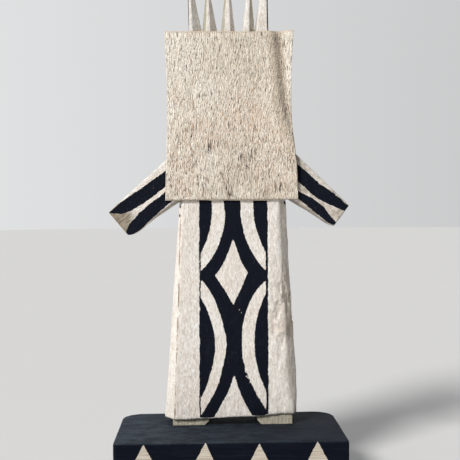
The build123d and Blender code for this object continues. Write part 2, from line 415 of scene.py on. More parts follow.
def brushed_ink(s, streak, ragged):
    """Black paint brushed along X, with dust and a painted sheen, and scuffs, where dust is 1, and wear
    where worn is 1.
    """
    cloud = s.noise((12, 6, 6), 5, 0.7, 0.5)
    scuff = s.noise((3.4, 1.2, 1.2), 4, 0.75, 0.3)
    ink = s.mix(s.ramp(streak, 0.42, 0.70, 0.0, 0.4), BASE_BLACK, WORN_PAINT)
    dust_and_sheen = s.maths("MULTIPLY", s.value("dust_and_sheen"), s.ramp(streak, 0.34, 0.62, 0.25, 1.0))
    dust_and_sheen = s.maths("MULTIPLY", dust_and_sheen, s.ramp(cloud, 0.34, 0.62, 0.35, 1.1))
    ink = s.mix(dust_and_sheen, ink, BASE_DUST_AND_SHEEN)
    scuffed = s.maths("MULTIPLY", s.ramp(scuff, 0.58, 0.74), s.value("dust_and_sheen"))
    ink = s.mix(s.maths("MULTIPLY", scuffed, 0.9), ink, BASE_SCUFF)
    worn = s.maths("MULTIPLY_ADD", ragged, 1.2, s.maths("SUBTRACT", s.value("worn"), 0.6))
    return s.mix(s.ramp(worn, 0.30, 0.90, 0.0, 0.45), ink, BASE_EDGE)


def black_base():
    """The base's brushed black paint, over wood left bare where paint is below 0."""
    s = Shader("brushed_black")
    streak = s.noise((24, 0.9, 0.9), 5, 0.68, 0.4)
    fine = s.noise((5, 0.3, 0.3), 3, 0.65)
    ragged = s.noise((0.9, 0.9, 1.4), 3, 0.6)
    grain = s.noise((16, 0.6, 0.6), 4, 0.62, 0.5)
    dark, light, brown = PLANED_WOOD
    wood = s.mix(s.ramp(grain, 0.36, 0.62), dark, light)
    wood = s.mix(s.ramp(fine, 0.62, 0.76, 0.0, 0.4), wood, brown)
    edge = s.maths("MULTIPLY_ADD", ragged, 0.9, -0.45)
    covered = s.ramp(s.maths("ADD", s.value("paint"), edge), -0.08, 0.14)
    colour = s.mix(covered, wood, brushed_ink(s, streak, ragged))
    relief = s.maths("MULTIPLY_ADD", streak, 0.7, s.maths("MULTIPLY", fine, 0.3))
    normal = s.bump(relief, 0.30)
    normal = s.bump(covered, 0.06, normal)
    rough = s.ramp(streak, 0.25, 0.75, 0.50, 0.68)
    return s.finish(colour, rough, normal, Specular_IOR_Level=0.05)


def sawn_wood(name, light=(0.52, 0.49, 0.40), dark=(0.25, 0.225, 0.165)):
    """Raw wood with upright grain and level saw marks."""
    s = Shader(name)
    grain = s.noise((0.5, 0.5, 9), 4, 0.65, 0.4)
    saw = s.noise((9, 9, 0.6), 3, 0.6, 0.2)
    colour = s.mix(s.ramp(grain, 0.3, 0.7), dark, light)
    colour = s.mix(s.ramp(saw, 0.5, 0.75, 0.0, 0.5), colour, tuple(1.25 * c for c in light))
    normal = s.bump(s.maths("ADD", grain, saw), 0.2)
    return s.finish(colour, 0.85, normal, Specular_IOR_Level=0.25)


def plain_steel(name, colour):
    """Brushed metal with a few brown spots."""
    s = Shader(name)
    brushed = s.noise((0.15, 0.15, 1.2), 3, 0.6)
    spots = s.noise((1.3, 1.3, 1.3), 3, 0.6)
    tint = s.mix(s.ramp(spots, 0.4, 0.75, 0.0, 0.6), colour, (0.16, 0.11, 0.08))
    return s.finish(tint, s.ramp(brushed, 0.3, 0.7, 0.28, 0.5), s.bump(brushed, 0.02), Metallic=1.0)


def suede():
    """The hide's skin: suede behind, and what shows between the hairs in front."""
    s = Shader("hide_skin")
    patches = s.noise((14, 14, 18), 4, 0.6, 0.5)
    fibre = s.noise((0.25, 0.25, 0.4), 3, 0.7)
    colour = s.mix(s.ramp(patches, 0.35, 0.65), (0.46, 0.36, 0.26), (0.60, 0.50, 0.39))
    colour = s.mix(s.ramp(fibre, 0.35, 0.7, 0.0, 0.35), colour, (0.74, 0.66, 0.55))
    return s.finish(colour, 0.9, s.bump(fibre, 0.12), Sheen_Weight=0.3, Specular_IOR_Level=0.2)


# From the palest cream to near black; a hair has one of these along each of its parts.
HAIR_TINTS = (
    (0.93, 0.88, 0.80),
    (0.87, 0.81, 0.72),
    (0.80, 0.735, 0.64),
    (0.71, 0.64, 0.54),
    (0.59, 0.51, 0.41),
    (0.78, 0.67, 0.565),
    (0.68, 0.555, 0.445),
    (0.55, 0.405, 0.285),
    (0.27, 0.195, 0.145),
    (0.085, 0.065, 0.055),
)
FIRST_TAN, FIRST_DARK = 5, 8


def hair_finish(index):
    s = Shader(f"hair_{index}")
    return s.finish(HAIR_TINTS[index], 0.6, None, Sheen_Weight=0.12, Specular_IOR_Level=0.25)


# ------------ painted patterns
# Each function gives the signed distance to the edge of the paint, positive inside it.


def between(low_edge, high_edge, along, across):
    """Signed distance inside the strip between two curves."""
    return np.minimum(side_of(low_edge, along, across), -side_of(high_edge, along, across))


# The robe's panel: the edges of its painted and its bare shapes, each as (z, x) knots.
# Two bowed bands cross as a tall X, whose upper and lower halves meet at one height.
BANDS_MEET = 142.6
UPPER_BANDS = (
    [(243, -3.2), (194, -2.9), (182, -2.0), (167, -5.2), (157, -9.6), (146.5, -17.6), (140, -25)],
    [(243, 8.4), (194, 8.2), (183, 8.7), (166, 12.4), (157, 16.8), (145.3, 25.1), (138, 32)],
)
LOWER_BANDS = (
    [
        (146, -27), (139.3, -18.6), (126, -9.8), (110, -4.3),
        (95, -1.6), (78, -4.3), (61, -10.0), (44, -20.4),
    ],
    [
        (144, 33), (138, 24.7), (124, 14.6), (112, 10.4),
        (98, 8.9), (82, 10.0), (63, 17.0), (46, 27.0),
    ],
)
DIAMOND_TOP = (
    [(176, 6.8), (168.2, 3.4), (158, -0.4), (150, -4.2), (142.2, -9.6), (136, -14.5)],
    [(176, 0.4), (168.2, 3.4), (159, 6.6), (151, 9.5), (144.1, 13.9), (138, 18.5)],
)
DIAMOND_LOW = (
    [(149, -14.8), (142.2, -9.6), (133, -3.6), (121.4, 3.1), (114, 7.2)],
    [(151, 19), (144.1, 13.9), (132, 8.2), (121.4, 3.1), (114, -1)],
)
FOOT = (
    [(82, 6.6), (74.3, 3.4), (62, -0.9), (52, -6.3), (40, -13.4)],
    [(82, 0.4), (74.3, 3.4), (64, 6.5), (54, 10.7), (41, 18.4)],
)
# The inner edges of the half lenses that stand against the border lines.
LEFT_LENSES = (
    [(243, -11.0), (194, -11.2), (182, -11.3), (170, -13.9), (157.5, -18.9), (150, -23)],
    [(134, -24), (127.6, -19.6), (115, -13.7), (95, -9.7), (77, -12.2), (58, -19.2), (50, -24)],
)
RIGHT_LENSES = (
    [(243, 17.0), (194, 17.2), (184, 17.5), (172, 20.0), (158, 25.6), (150, 30)],
    [(134, 29), (127.8, 25.0), (113, 19.7), (95, 17.7), (77, 20.0), (62, 25.6), (54, 30)],
)
# X of the border lines at the hide's lower edge, their half widths, and the bands' spread.
LEFT_LINE, RIGHT_LINE = -19.35, 26.4
LEFT_HALF, RIGHT_HALF = 0.55, 0.85
BAND_SPREAD = 0.22


def robe_bands(x, z):
    """The robe's panel: the X with a bare diamond and foot in it, two border lines, four half lenses."""
    left_line = LEFT_LINE - 0.006 * (194 - z)
    upper, lower = between(*UPPER_BANDS, z, x), between(*LOWER_BANDS, z, x)
    band = np.where(z > BANDS_MEET, upper, lower)
    diamond = np.minimum(between(*DIAMOND_TOP, z, x), between(*DIAMOND_LOW, z, x))
    band = np.minimum(band, -np.maximum(diamond, between(*FOOT, z, x)))
    inside = np.minimum(x - left_line + 0.4, RIGHT_LINE + 0.8 - x)
    borders = np.maximum(LEFT_HALF - abs(x - left_line), RIGHT_HALF - abs(x - RIGHT_LINE))
    lenses = [np.minimum(x - left_line, -side_of(edge, z, x)) for edge in LEFT_LENSES]
    lenses += [np.minimum(side_of(edge, z, x), RIGHT_LINE - x) for edge in RIGHT_LENSES]
    return np.maximum.reduce([np.minimum(band + BAND_SPREAD, inside), borders, *lenses])


# Each arm's two stripes: a lower and an upper edge, as distances from the pivot along and across.
ARM_STRIPES = {
    "arm_left": (
        (
            [(0, 1.4), (48, 1.0), (55, 2.1), (60.4, 4.2), (66, 9.0)],
            [(0, 8.9), (36, 9.5), (54, 10.6), (66, 10.2)],
        ),
        (
            [(0, -9.7), (28, -10.3), (46, -11.6), (55, -13.0), (62, -13.6), (66, -12.4)],
            [(0, -3.2), (32, -2.3), (54, -3.6), (61, -5.4), (67.5, -9.5)],
        ),
    ),
    "arm_right": (
        (
            [(0, 0.3), (26, 0.3), (44, -0.6), (51, 0.7), (64, 3.6)],
            [(0, 9.8), (25, 9.5), (34, 8.4), (47, 9.0), (64, 8.3)],
        ),
        (
            [(0, -9.0), (37, -9.1), (47, -9.7), (56, -10.8), (64, -10.6)],
            [(0, -5.0), (29, -4.4), (43, -2.6), (48, -2.7), (54, -3.9), (59, -5.5), (64, -6.3)],
        ),
    ),
}


def arm_bands(node, along, across):
    return np.maximum(*(between(*stripe, along, across) for stripe in ARM_STRIPES[node]))


# The base's triangles: where they touch along the lower edge, their tips, and that edge's height.
TRIANGLE_FEET = (-75.5, -37.0, -0.5, 36.5, 75.5)
TRIANGLE_TIPS = ((-56.5, 37.6), (-16.6, 38.4), (18.0, 37.1), (55.5, 38.0))
TRIANGLE_FOOT = 0.6


def base_triangles(x, z):
    """Paint with four bare triangles that stand on the block's lower edge."""
    bare = np.full(len(x), -99.0)
    for (tip_x, tip_z), left, right in zip(TRIANGLE_TIPS, TRIANGLE_FEET, TRIANGLE_FEET[1:]):
        rise = tip_z - TRIANGLE_FOOT
        left_side = (x - left) * rise - (z - TRIANGLE_FOOT) * (tip_x - left)
        right_side = (right - x) * rise - (z - TRIANGLE_FOOT) * (right - tip_x)
        left_side /= math.hypot(rise, tip_x - left)
        right_side /= math.hypot(rise, right - tip_x)
        sides = np.minimum(left_side, right_side)
        bare = np.maximum(bare, np.minimum(sides, z - TRIANGLE_FOOT))
    return -bare


# ------------ pieces


def wear(mesh, points, rounds, full):
    """How far an edge stands proud of its surroundings, from 0 to 1."""
    rounded = smoothed(mesh, points, rounds)
    proud = ((points - rounded) * normals_of(mesh)).sum(axis=1)
    return np.clip(proud / full, 0, 1)


def put_finish(mesh, paint, bare_and_shade, worn):
    """The attributes that painted_wood reads."""
    put_values(mesh, "paint", np.clip(paint, -6, 6))
    put_values(mesh, "bare_and_shade", np.clip(bare_and_shade, 0, 1))
    put_values(mesh, "worn", np.clip(worn, 0, 1))


def spot(x, z, centre, radii, tilt=0.0):
    """Roughly the distance inside an ellipse's edge, in mm."""
    dx, dz = x - centre[0], z - centre[1]
    c, s = math.cos(tilt), math.sin(tilt)
    across, up = (c * dx + s * dz) / radii[0], (c * dz - s * dx) / radii[1]
    return (1 - np.hypot(across, up)) * min(radii)


def mound(x, z, centre, radii):
    """A round hump, 1 high."""
    return np.exp(-(((x - centre[0]) / radii[0]) ** 2 + ((z - centre[1]) / radii[1]) ** 2))


# The edge between the robe's left panel and its bevel, as (z, x) knots.
ROBE_ARRIS = [(42, -38.1), (75, -36.9), (133, -34.5), (192, -32.4), (243, -29.2)]
# Chips and nail marks that have gone dark, and last a painted shadow in the gap by the right arm: x, z,
# half width, half height.
ROBE_MARKS_AND_SHADOW = ((-33.0, 189.6, 0.55, 0.9), (-33.3, 183.6, 0.55, 1.1), (40.6, 192.3, 2.3, 1.5))
# Where splinters have taken the paint off: x, z, half width, half length, lean.
ROBE_SCUFFS = (
    (11.4, 77.0, 0.45, 3.4, 0.05),
    (12.6, 71.6, 0.5, 2.4, 0.9),
    (14.8, 69.0, 0.5, 2.2, -0.5),
    (11.9, 82.6, 0.45, 1.5, -0.2),
    (9.0, 116.0, 0.4, 1.4, 0.3),
    (7.4, 118.5, 0.4, 0.9, -0.5),
    (-6.0, 96.0, 0.35, 0.9, 0.0),
)
# The robe's near half is in front of this Y.
ROBE_MIDDLE = 16


def torn_grain(x, y, z):
    """From 0 to 1, how torn the grain is on the right panel."""
    torn = smoothstep(92, 108, z) * smoothstep(158, 128, z)
    return torn * smoothstep(27, 33, x) * (y < ROBE_MIDDLE)


def robe_relief(x, y, z, points):
    """How far out the plane, the torn grain, a knot and the hem move the surface, in mm."""
    planed = 0.26 * noise(points, (15, 15, 55), 3) + 0.09 * layered(points, (3.6, 3.6, 20), 5, 4)
    planed += 0.55 * smoothstep(27, 36, x) * (y < ROBE_MIDDLE) * layered(points, (6, 6, 15), 9)
    planed += 0.11 * layered(points, (1.9, 1.9, 3.4), 12, 2)
    gouges = -1.1 * torn_grain(x, y, z) * smoothstep(0.0, 0.5, layered(points, (1.7, 1.7, 7), 8, 4))
    knot = mound(x, z, (35.6, 103), (2.2, 1.9)) * (y < ROBE_MIDDLE)
    hollow = -0.5 * mound(x, z, (37.5, 96), (2.4, 4.0)) * (y < ROBE_MIDDLE)
    hem = smoothstep(50, 44, z) * 0.12 * layered(points, (2.2, 2.2, 6), 11)
    return planed + gouges + knot + hollow + hem


def robe_paint(x, y, z, points, normals):
    """The painted panel with its scuffs, and on the near side dark marks and a painted shadow by the
    right arm.
    """
    wobble = 0.30 * layered(points, (5, 5, 7), 31)
    paint = np.where(abs(normals[:, 1]) > 0.9, robe_bands(x + wobble, z), UNPAINTED)
    scuffs = [spot(x, z, (sx, sz), (w, h), lean) for sx, sz, w, h, lean in ROBE_SCUFFS]
    paint = np.minimum(paint, -3.0 * np.maximum.reduce(scuffs) + 0.25)
    # The last of these marks is a painted shadow in the gap beside the right arm.
    marks = [spot(x, z, (mx, mz), (w, h)) for mx, mz, w, h in ROBE_MARKS_AND_SHADOW]
    marks = np.where(y < 12, np.maximum.reduce(marks), UNPAINTED)
    return np.maximum(paint, marks)


def robe_bareness_and_shade(x, y, z, points, normals):
    """How bare the wood is: a little at both sides and more where it is torn; on the right flank, which
    faces away from the light, the bare tone is also painted shade.
    """
    bare_and_shade = 0.08 * smoothstep(30, 40, x) * (y < 20) + 0.22 * torn_grain(x, y, z)
    bare_and_shade += 0.12 * smoothstep(-34, -37, x)
    # Surfaces that face right, away from the light, get the bare tone as painted shade.
    bare_and_shade += 0.20 * smoothstep(0.4, 0.8, normals[:, 0]) * (1 + layered(points, (4, 4, 12), 39))
    return bare_and_shade


def robe_stain(x, y, z, points, proud):
    """How brown the wood is: along the left arris, at corners and at the hem."""
    from_arris = abs(x - curve(ROBE_ARRIS)(z) + 0.12 * layered(points, (2, 2, 5), 33))
    arris = smoothstep(0.75, 0.15, from_arris) * (y < 5)
    brown = 0.45 + 0.35 * layered(points, (30, 30, 9), 35)
    worn = arris * np.clip(brown, 0.2, 0.8) + 0.2 * proud * (x < 20)
    worn += 0.07 * smoothstep(54, 43, z) * (0.5 + 0.8 * layered(points, (6, 6, 3), 37))
    return worn


def make_robe():
    mesh = carved("robe", 8)
    points, normals = points_of(mesh), normals_of(mesh)
    x, y, z = points.T
    proud = wear(mesh, points, 2, 0.3)
    # The right bevel is worked into a soft curve, and the far side is rounder than the near one.
    points = smoothed(mesh, points, 1, 0.5)
    points = smoothed(mesh, points, 14, 0.5 * smoothstep(22, 35, x) * (z < 186))
    points = smoothed(mesh, points, 6, 0.5 * (y > 20))
    points += normals * robe_relief(x, y, z, points)[:, None]
    ragged = smoothstep(48.5, 44.5, z) * smoothstep(0.3, -0.6, normals[:, 2])
    points[:, 2] += ragged * (0.14 * layered(points, (2.4, 2.4, 40), 21) - 0.12)
    put_points(mesh, points)

    bare_and_shade = robe_bareness_and_shade(x, y, z, points, normals)
    worn = robe_stain(x, y, z, points, proud)
    put_finish(mesh, robe_paint(x, y, z, points, normals), bare_and_shade, worn)
    piece = new_object("robe_carving", mesh, painted_wood("robe_paint"))
    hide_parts("robe")


# Z of the crown's foot, and X of the lines between neighbouring teeth, there and at the tips.
CROWN_FOOT = 286
TOOTH_GAPS = ((-15.6, -19.6), (-4.4, -6.0), (8.3, 9.0), (16.9, 21.5))
# How bare each tooth's left and right flanks are; the bare tone is also painted shade, on flanks that
# neighbouring teeth shadow and on flanks that face away from the light.
LEFT_FLANKS_BARE_AND_SHADED = (0.0, 1.1, 0.85, 0.0, 0.0)
RIGHT_FLANKS_BARE_AND_SHADED = (0.0, 0.0, 0.05, 0.75, 0.0)


def tooth_number(x, z):
    """Which tooth a point is on, from 0 at the left."""
    return sum((x > np.interp(z, [CROWN_FOOT, 350], gap)).astype(int) for gap in TOOTH_GAPS)


def face_features(x, z, middle):
    """Signed distances inside the slit eyes, the mouth and the brow line."""
    eye = spot(abs(x - middle), z, (13.0, 273.5), (4.6, 1.7))
    mouth = np.minimum(7.0 - abs(x - middle), 1.1 - abs(z - 256.5))
    brow = np.minimum(19.0 - abs(x - middle), 0.8 - abs(z - 281.5 + 0.012 * (x - middle) ** 2))
    return eye, mouth, brow


def crown_right(z, right):
    """X of the crown's right side, which leans in towards the tip."""
    return np.interp(z, [CROWN_FOOT, 352], [right, 28.7])


def head_paint(x, y, z, points, normals, left, right):
    """Black outer sides, and thin broken lines where they turn into the crown's near side."""
    outer = (abs(normals[:, 0]) > 0.9) & ((x < left + 1.5) | (x > right - 3.5)) & (y > 2.6)
    outer |= (normals[:, 2] > 0.5) & (abs(z - CROWN_FOOT) < 1.5) & (x > right - 2.5)
    shake = 0.25 * layered(points, (3, 3, 4), 47)
    fading = [left - 0.2, left + 0.3, left + 0.85, left + 0.25]
    edge_left = np.interp(z, [CROWN_FOOT, 306, 318, 350], fading) + shake - x
    edge_right = x - crown_right(z, right) + 0.75 + 1.3 * shake
    near_crown = (z > CROWN_FOOT + 1) & (y < 12.5)
    outline = np.where(near_crown, np.maximum(edge_left, edge_right), UNPAINTED)
    return np.where(outer, 3.0, outline)


def crown_bareness_and_shade(x, y, z, points, normals):
    """How bare the teeth's flanks are, which also paints shade on them."""
    slope = normals[:, 0] * (y < 29)
    tooth = tooth_number(x, z)
    to_left = smoothstep(-0.15, -0.4, slope) * np.array(LEFT_FLANKS_BARE_AND_SHADED)[tooth]
    to_right = smoothstep(0.2, 0.5, slope) * np.array(RIGHT_FLANKS_BARE_AND_SHADED)[tooth]
    crown = z > CROWN_FOOT + 1
    return crown * (to_left + to_right) * (1 + 0.35 * layered(points, (2, 2, 9), 49))


def crown_smudge(x, y, z, points, right):
    """Dirt at the upper right edge of the last tooth."""
    smudge = smoothstep(4.6, 2.2, crown_right(z, right) - x) * smoothstep(308, 322, z)
    smudge = smudge * (y < 12) * (x > 20)
    return smudge * smoothstep(-0.1, 0.5, layered(points, (1.6, 2, 4), 51))


def make_head():
    mesh = carved("head", 8, 0.84)
    points, normals = points_of(mesh), normals_of(mesh)
    x, y, z = points.T
    proud = wear(mesh, points, 3, 0.3)
    low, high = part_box("head")
    left, right = low.x / MM, high.x / MM
    points = smoothed(mesh, points, 2, 0.5)
    cuts = 0.14 * noise(points, (6, 6, 20), 41) + 0.08 * layered(points, (2.2, 2.2, 11), 43)
    points += normals * cuts[:, None]

    # The doll's face is on the far side, below the crown. Its eyes and mouth are cut in.
    face = (normals[:, 1] > 0.6) & (z < CROWN_FOOT + 4)
    eye, mouth, brow = face_features(x, z, (left + right) / 2)
    points[:, 1] -= face * 0.7 * smoothstep(-0.4, 0.8, np.maximum(eye, mouth))
    put_points(mesh, points)

    features = np.maximum.reduce([eye, mouth, brow])
    paint = head_paint(x, y, z, points, normals, left, right)
    paint = np.where(face, np.maximum(features, UNPAINTED), paint)
    worn = 0.25 * proud + 0.30 * crown_smudge(x, y, z, points, right)
    put_finish(mesh, paint, crown_bareness_and_shade(x, y, z, points, normals), worn)
    piece = new_object("head_carving", mesh, painted_wood("head_paint", kind=KHAKI_WOOD))
    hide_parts("head")


# How far each hand's end is from the pivot.
ARM_REACH = {"arm_left": 65.9, "arm_right": 63.3}
# Distances from the pivot, and the lower edge's place at each.
ARM_LOWER_EDGE = {
    "arm_left": ((0, 20, 66), (-15.6, -14.6, -10.3)),
    "arm_right": ((0, 20, 64), (-16.0, -14.8, -8.8)),
}
# Width of the bevel along the lower edge, at distances from the pivot; it is left bare, and its bare
# tone is painted shade, since it faces down.
ARM_BEVEL = {
    "arm_left": [(15, 3.4), (25, 2.9), (40, 1.9), (50, 0.6), (57, -0.3), (66, -0.6)],
    "arm_right": [(15, 3.4), (25, 2.9), (40, 2.1), (52, 1.1), (60, 0.2), (66, -0.3)],
}
# How far the lower edge bulges beyond a straight line, near the hand.
ARM_BELLY = {
    "arm_left": [(30, 0), (42, 0.4), (48, 0.9), (54, 1.6), (59, 1.95), (62.7, 1.45), (65.6, 0)],
    "arm_right": [(40, 0), (52, 0.4), (60, 0.75), (63.5, 0)],
}


def carve_arm(mesh, points, normals, local, across_axis, free, cut):
    """The points with the bevel cut, knife marks beyond the root and nicks in the upper edge."""
    points = smoothed(mesh, points, 1, 0.5)
    points += across_axis * (0.45 * cut)[:, None]
    points[:, 1] += 0.45 * cut
    points = smoothed(mesh, points, 2, 0.4)
    cuts = 0.16 * noise(local, (11, 5, 5), 61) + 0.09 * layered(local, (6, 2, 2), 63)
    points += normals * (free * cuts)[:, None]
    nicks = smoothstep(0.35, 0.8, noise(local, (5, 9, 30), 67)) * (normals @ across_axis > 0.7)
    points -= across_axis * (free * 0.35 * nicks)[:, None]
    return points


def arm_bareness(local, flat, bareness):
    """How bare the wood is between the stripes at the hand, in patches."""
    between_stripes = smoothstep(50, 60, local[:, 0] + 2.5 * layered(local, (4, 2, 2), 73))
    patchy = bareness + (1 - bareness) * 1.3 * layered(local, (3, 2, 2), 77, 4)
    return 1.1 * np.clip(patchy, 0, 1) * between_stripes * flat


def make_arm(node, body, joint, bareness):
    mesh = carved(node, 7)
    points, normals = points_of(mesh), normals_of(mesh)
    pivot = np.array(joint["pos_m"]) / MM
    side = -1.0 if pivot[0] < 0 else 1.0
    along_axis = np.array([side * math.cos(ARM_REST), 0, -math.sin(ARM_REST)])
    across_axis = np.array([side * math.sin(ARM_REST), 0, math.cos(ARM_REST)])
    offset = points - pivot
    along, across = offset @ along_axis, offset @ across_axis
    local = np.stack([along, points[:, 1], across], axis=1)
    # The root, which the hide covers, is left as it is.
    free = smoothstep(17, 21, along)

    lowest = np.interp(along, *ARM_LOWER_EDGE[node])
    belly = curve(ARM_BELLY[node])(along)
    points -= across_axis * (belly * smoothstep(7, 0, across - lowest))[:, None]
    across = (points - pivot) @ across_axis
    up_from_edge = across - (lowest - belly)
    depth = points[:, 1] - points[:, 1].min()
    bevel = curve(ARM_BEVEL[node])(along)
    cut = np.clip(bevel - up_from_edge - 0.9 * depth, 0, None) * free
    points = carve_arm(mesh, points, normals, local, across_axis, free, cut)
    put_points(mesh, points)

    flat, near = abs(normals[:, 1]) > 0.6, normals[:, 1] < 0.3
    wobble = 0.28 * layered(local, (5, 4, 4), 71, 4) + 0.22 * layered(local, (1.6, 2, 2), 72, 2)
    paint = np.where(flat, arm_bands(node, along, across + wobble), 0.8 * UNPAINTED)
    # The bevel along the lower edge faces down: it is left unpainted and given the bare tone as painted
    # shade.
    strip = bevel * 0.8 - up_from_edge + 0.15 * layered(local, (6, 2, 2), 75)
    paint = np.where(near, np.minimum(paint, -strip - 0.2), paint)

    bare_and_shade = arm_bareness(local, flat, bareness)
    bare_and_shade = bare_and_shade + 0.65 * smoothstep(0.0, 0.5, strip) * near * free
    if side > 0:
        # The whitewash has gone dull on the right arm.
        dulled = np.clip(0.42 + 0.34 * layered(local, (4, 2.5, 2.5), 78, 4), 0, 0.8)
        bare_and_shade = np.maximum(bare_and_shade, dulled * flat)
    bare_and_shade = np.maximum(bare_and_shade, 0.8 * (normals @ along_axis > 0.6))
    to_end = ARM_REACH[node] - along
    worn = 0.35 * wear(mesh, points, 2, 0.25)
    worn += bareness * 0.35 * smoothstep(3.2, 0.4, to_end + layered(local, (3, 2, 2), 79)) * flat
    put_finish(mesh, paint, bare_and_shade, worn)
    finish = painted_wood(node + "_paint", side * (math.pi / 2 - ARM_REST), HAND_WOOD, 0.8)
    piece = new_object(node + "_carving", mesh, finish, body)
    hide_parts(node)


# On the far side the triangles are mirrored, and drawn closer to keep clear of its round corners.
FAR_SQUEEZE = 1.34


def make_base():
    mesh = carved("base_block", 8, 0.84)
    points, normals = points_of(mesh), normals_of(mesh)
    x, _, z = points.T
    proud = wear(mesh, points, 3, 0.25)
    points = smoothed(mesh, points, 2, 0.5)
    uneven = 0.13 * noise(points, (40, 16, 16), 81) + 0.06 * layered(points, (15, 1.5, 1.5), 83)
    chips = -0.35 * smoothstep(0.2, 0.7, layered(points, (4, 2, 2), 87)) * smoothstep(0.3, 0.8, proud)
    points += normals * ((uneven + chips) * smoothstep(0.3, 1.5, z))[:, None]
    put_points(mesh, points)

    near, far = normals[:, 1] < -0.8, normals[:, 1] > 0.8
    wobble = 0.13 * layered(points, (5, 5, 5), 85)
    pattern = base_triangles(np.where(far, -FAR_SQUEEZE * x, x) + wobble, z)
    put_values(mesh, "paint", np.where(near | far, pattern, 5.0))
    put_values(mesh, "worn", proud)
    # Dust and a painted sheen lie on the top, more of both at the left, where the light comes from.
    top_dust_and_sheen = smoothstep(0.3, 0.9, normals[:, 2]) * (0.47 - 0.0038 * x)
    put_values(mesh, "dust_and_sheen", np.clip(top_dust_and_sheen, 0, 1))
    piece = new_object("base_carving", mesh, black_base())
    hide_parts("base_block")


def make_leg(node):
    mesh = carved(node, 6)
    points, normals = points_of(mesh), normals_of(mesh)
    points = smoothed(mesh, points, 1, 0.5)
    sawn = 0.14 * noise(points, (1.3, 1.3, 14), 91) + 0.10 * layered(points, (3, 3, 0.9), 93)
    sides = abs(normals[:, 2]) < 0.5
    points += normals * (sides * sawn)[:, None]
    put_points(mesh, points)
    piece = new_object(node + "_sawn", mesh, sawn_wood(node + "_wood"))
    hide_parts(node)


def make_fasteners():
    """The hidden dowel, screws and pins keep their CAD shapes and get their materials."""
    steel = plain_steel("dull_steel", (0.42, 0.40, 0.38))
    zinc = plain_steel("zinc_steel", (0.56, 0.54, 0.48))
    birch = sawn_wood("birch_dowel", (0.66, 0.52, 0.34), (0.48, 0.36, 0.22))
    finishes = {"arm_pin_left": steel, "arm_pin_right": steel, "leg_screws": zinc, "neck_dowel": birch}
    for node, material in finishes.items():
        for slot in frame["nodes"][node].material_slots:
            slot.link = "OBJECT"
            slot.material = material


# ------------ hide

HIDE_LOW, HIDE_HIGH = (np.array(corner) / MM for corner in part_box("hide_panel"))
HIDE_SKIN = 1.3
# How far the side edges are from the CAD box's, and X of the crease, as (z, mm) knots.
HIDE_LEFT_EDGE = [(194, 0.0), (225, 0.9), (256, 1.8), (285, 1.2), (310, 0.3)]
HIDE_RIGHT_EDGE = [
    (194, -0.2), (214, -0.7), (228, -1.9), (240, -3.2),
    (256, -4.3), (290, -4.3), (310, -3.0),
]
HIDE_VALLEY = [
    (194, 58), (215, 53.4), (230, 49.2), (245, 44.6), (255, 41.8),
    (270, 39.6), (284, 38.4), (304, 36.2), (310, 35.4),
]


def hide_outline(z):
    """X of the hide's left and right edges."""
    left = HIDE_LOW[0] + curve(HIDE_LEFT_EDGE)(z)
    right = HIDE_HIGH[0] + curve(HIDE_RIGHT_EDGE)(z)
    return left, right


def hide_near_y(x, z):
    """Y of the skin's near face: flat, curled at the left, with a ridge and a crease at the right."""
    left, _ = hide_outline(z)
    flat = np.stack([x, 0 * x, z], axis=1)
    skin = HIDE_HIGH[1] - HIDE_SKIN - 0.28 + 0.26 * noise(flat, 26, 101)
    skin += 0.45 * smoothstep(4.0, 0.0, x - left)
    crease = curve(HIDE_VALLEY)(z)
    ridge = 2.4 * smoothstep(200, 232, z) * smoothstep(19, 6.0, crease - x)
    depth = 2.6 * smoothstep(236, 252, z) * smoothstep(316, 302, z)
    wall = smoothstep(crease - 6.0, crease, x)
    lifted = (ridge + depth + 0.5) * smoothstep(crease, crease + 7.0, x)
    return skin - ridge + (ridge + depth) * wall - lifted


def sheet_faces(across, up):
    """Faces of a closed sheet whose vertices are a near grid and then a far one."""
    count = across * up
    grid = np.arange(count).reshape(up, across)
    corners = [grid[:-1, :-1], grid[:-1, 1:], grid[1:, 1:], grid[1:, :-1]]
    quads = np.stack(corners, axis=-1).reshape(-1, 4)
    rim = np.concatenate([grid[0, :], grid[1:, -1], grid[-1, -2::-1], grid[-2:0:-1, 0]])
    following = np.roll(rim, -1)
    sides = np.stack([rim, rim + count, following + count, following], axis=1)
    return np.concatenate([quads, quads[:, ::-1] + count, sides])


def make_hide():
    """A thin skin, and the hair on it as locks that lie downwards."""
    across, up = 110, 140
    u, v = (share.ravel() for share in np.meshgrid(np.linspace(0, 1, across), np.linspace(0, 1, up)))
    z = HIDE_LOW[2] + v * (HIDE_HIGH[2] - HIDE_LOW[2])
    left, right = hide_outline(z)
    x = left + u * (right - left)
    near = hide_near_y(x, z)
    # The lower edge is trimmed unevenly, and the upper one less so.
    trim = 0.35 * noise(np.stack([x, 0 * x, 0 * z], axis=1), 9, 103)
    z = z + trim * (v < 0.001) + 0.6 * trim * (v > 0.999)
    front = np.stack([x, near, z], axis=1)
    back = front + [0, HIDE_SKIN, 0]
    on_wood = ((x > -27) & (x < 30)) | (z < 242)
    back[:, 1] = np.minimum(back[:, 1], np.where(on_wood, HIDE_HIGH[1] - 0.02, 99))
    mesh = bpy.data.meshes.new("hide_skin")
    vertices = np.concatenate([front, back]) * MM
    mesh.from_pydata(vertices.tolist(), [], sheet_faces(across, up).tolist())
    mesh.shade_smooth()
    skin = new_object("hide_skin", mesh, suede())
    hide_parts("hide_panel")
    hair = make_hair()


